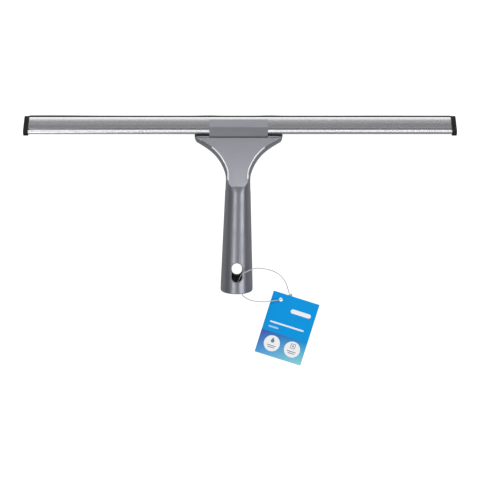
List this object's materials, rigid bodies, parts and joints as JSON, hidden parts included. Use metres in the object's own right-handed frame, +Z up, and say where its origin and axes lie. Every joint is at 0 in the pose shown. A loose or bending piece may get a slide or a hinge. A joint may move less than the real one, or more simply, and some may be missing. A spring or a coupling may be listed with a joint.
{
  "type": "window cleaning squeegee",
  "caption": "Window squeegee: rubber blade in a wide aluminium channel, clamped by the flared head of a hollow tapered handle, with a hang tag on a nylon loop.",
  "frame": {"origin": "on the table, below the middle of the squeegee's bounding box, tag and loop left out", "axes": "+X along the blade, +Y from the handle towards the blade, +Z up from the table on which the squeegee lies, rubber lip and handle end down"},
  "size_m": [0.4, 0.2349, 0.0488],
  "materials": {
    "silver_plastic": "silver paint over moulded plastic, satin",
    "satin_aluminium": "extruded and satin anodised",
    "black_plastic": "moulded, matt",
    "black_rubber": "smooth, matt",
    "zinc_steel": "zinc plated",
    "printed_card": "coated card, printed blue to violet",
    "clear_nylon": "clear moulded nylon"
  },
  "bodies": {
    "handle": {"handle_body": "silver_plastic", "front_jaw": "silver_plastic", "tag_loop": "clear_nylon", "tag_lock": "clear_nylon"},
    "blade": {"channel": "satin_aluminium", "rubber_blade": "black_rubber"},
    "cap_left": {"end_cap_left": "black_plastic"},
    "cap_right": {"end_cap_right": "black_plastic"},
    "screw_left": {"clamp_screw_left": "zinc_steel"},
    "screw_right": {"clamp_screw_right": "zinc_steel"},
    "tag": {"tag_card": "printed_card"}
  },
  "joints": [
    {"name": "channel_slide", "type": "slide", "parent": "handle", "child": "blade", "axis": [1, 0, 0], "range_m": [-0.15, 0.15]},
    {"name": "cap_left_pull", "type": "slide", "parent": "blade", "child": "cap_left", "axis": [-1, 0, 0], "range_m": [0, 0.01]},
    {"name": "cap_right_pull", "type": "slide", "parent": "blade", "child": "cap_right", "axis": [1, 0, 0], "range_m": [0, 0.01]},
    {"name": "screw_left_turn", "type": "hinge", "parent": "handle", "child": "screw_left", "pos_m": [-0.0143, 0.05443, 0.01941], "axis": [0, 0.4472, 0.8944], "continuous": true},
    {"name": "screw_right_turn", "type": "hinge", "parent": "handle", "child": "screw_right", "pos_m": [0.0117, 0.05443, 0.01941], "axis": [0, 0.4472, 0.8944], "continuous": true},
    {"name": "tag_swivel", "type": "hinge", "parent": "handle", "child": "tag", "pos_m": [0.0384, -0.0894, 0.0024], "axis": [-0.0116, -0.0366, 0.9993], "range_deg": [-35, 35]}
  ]
}
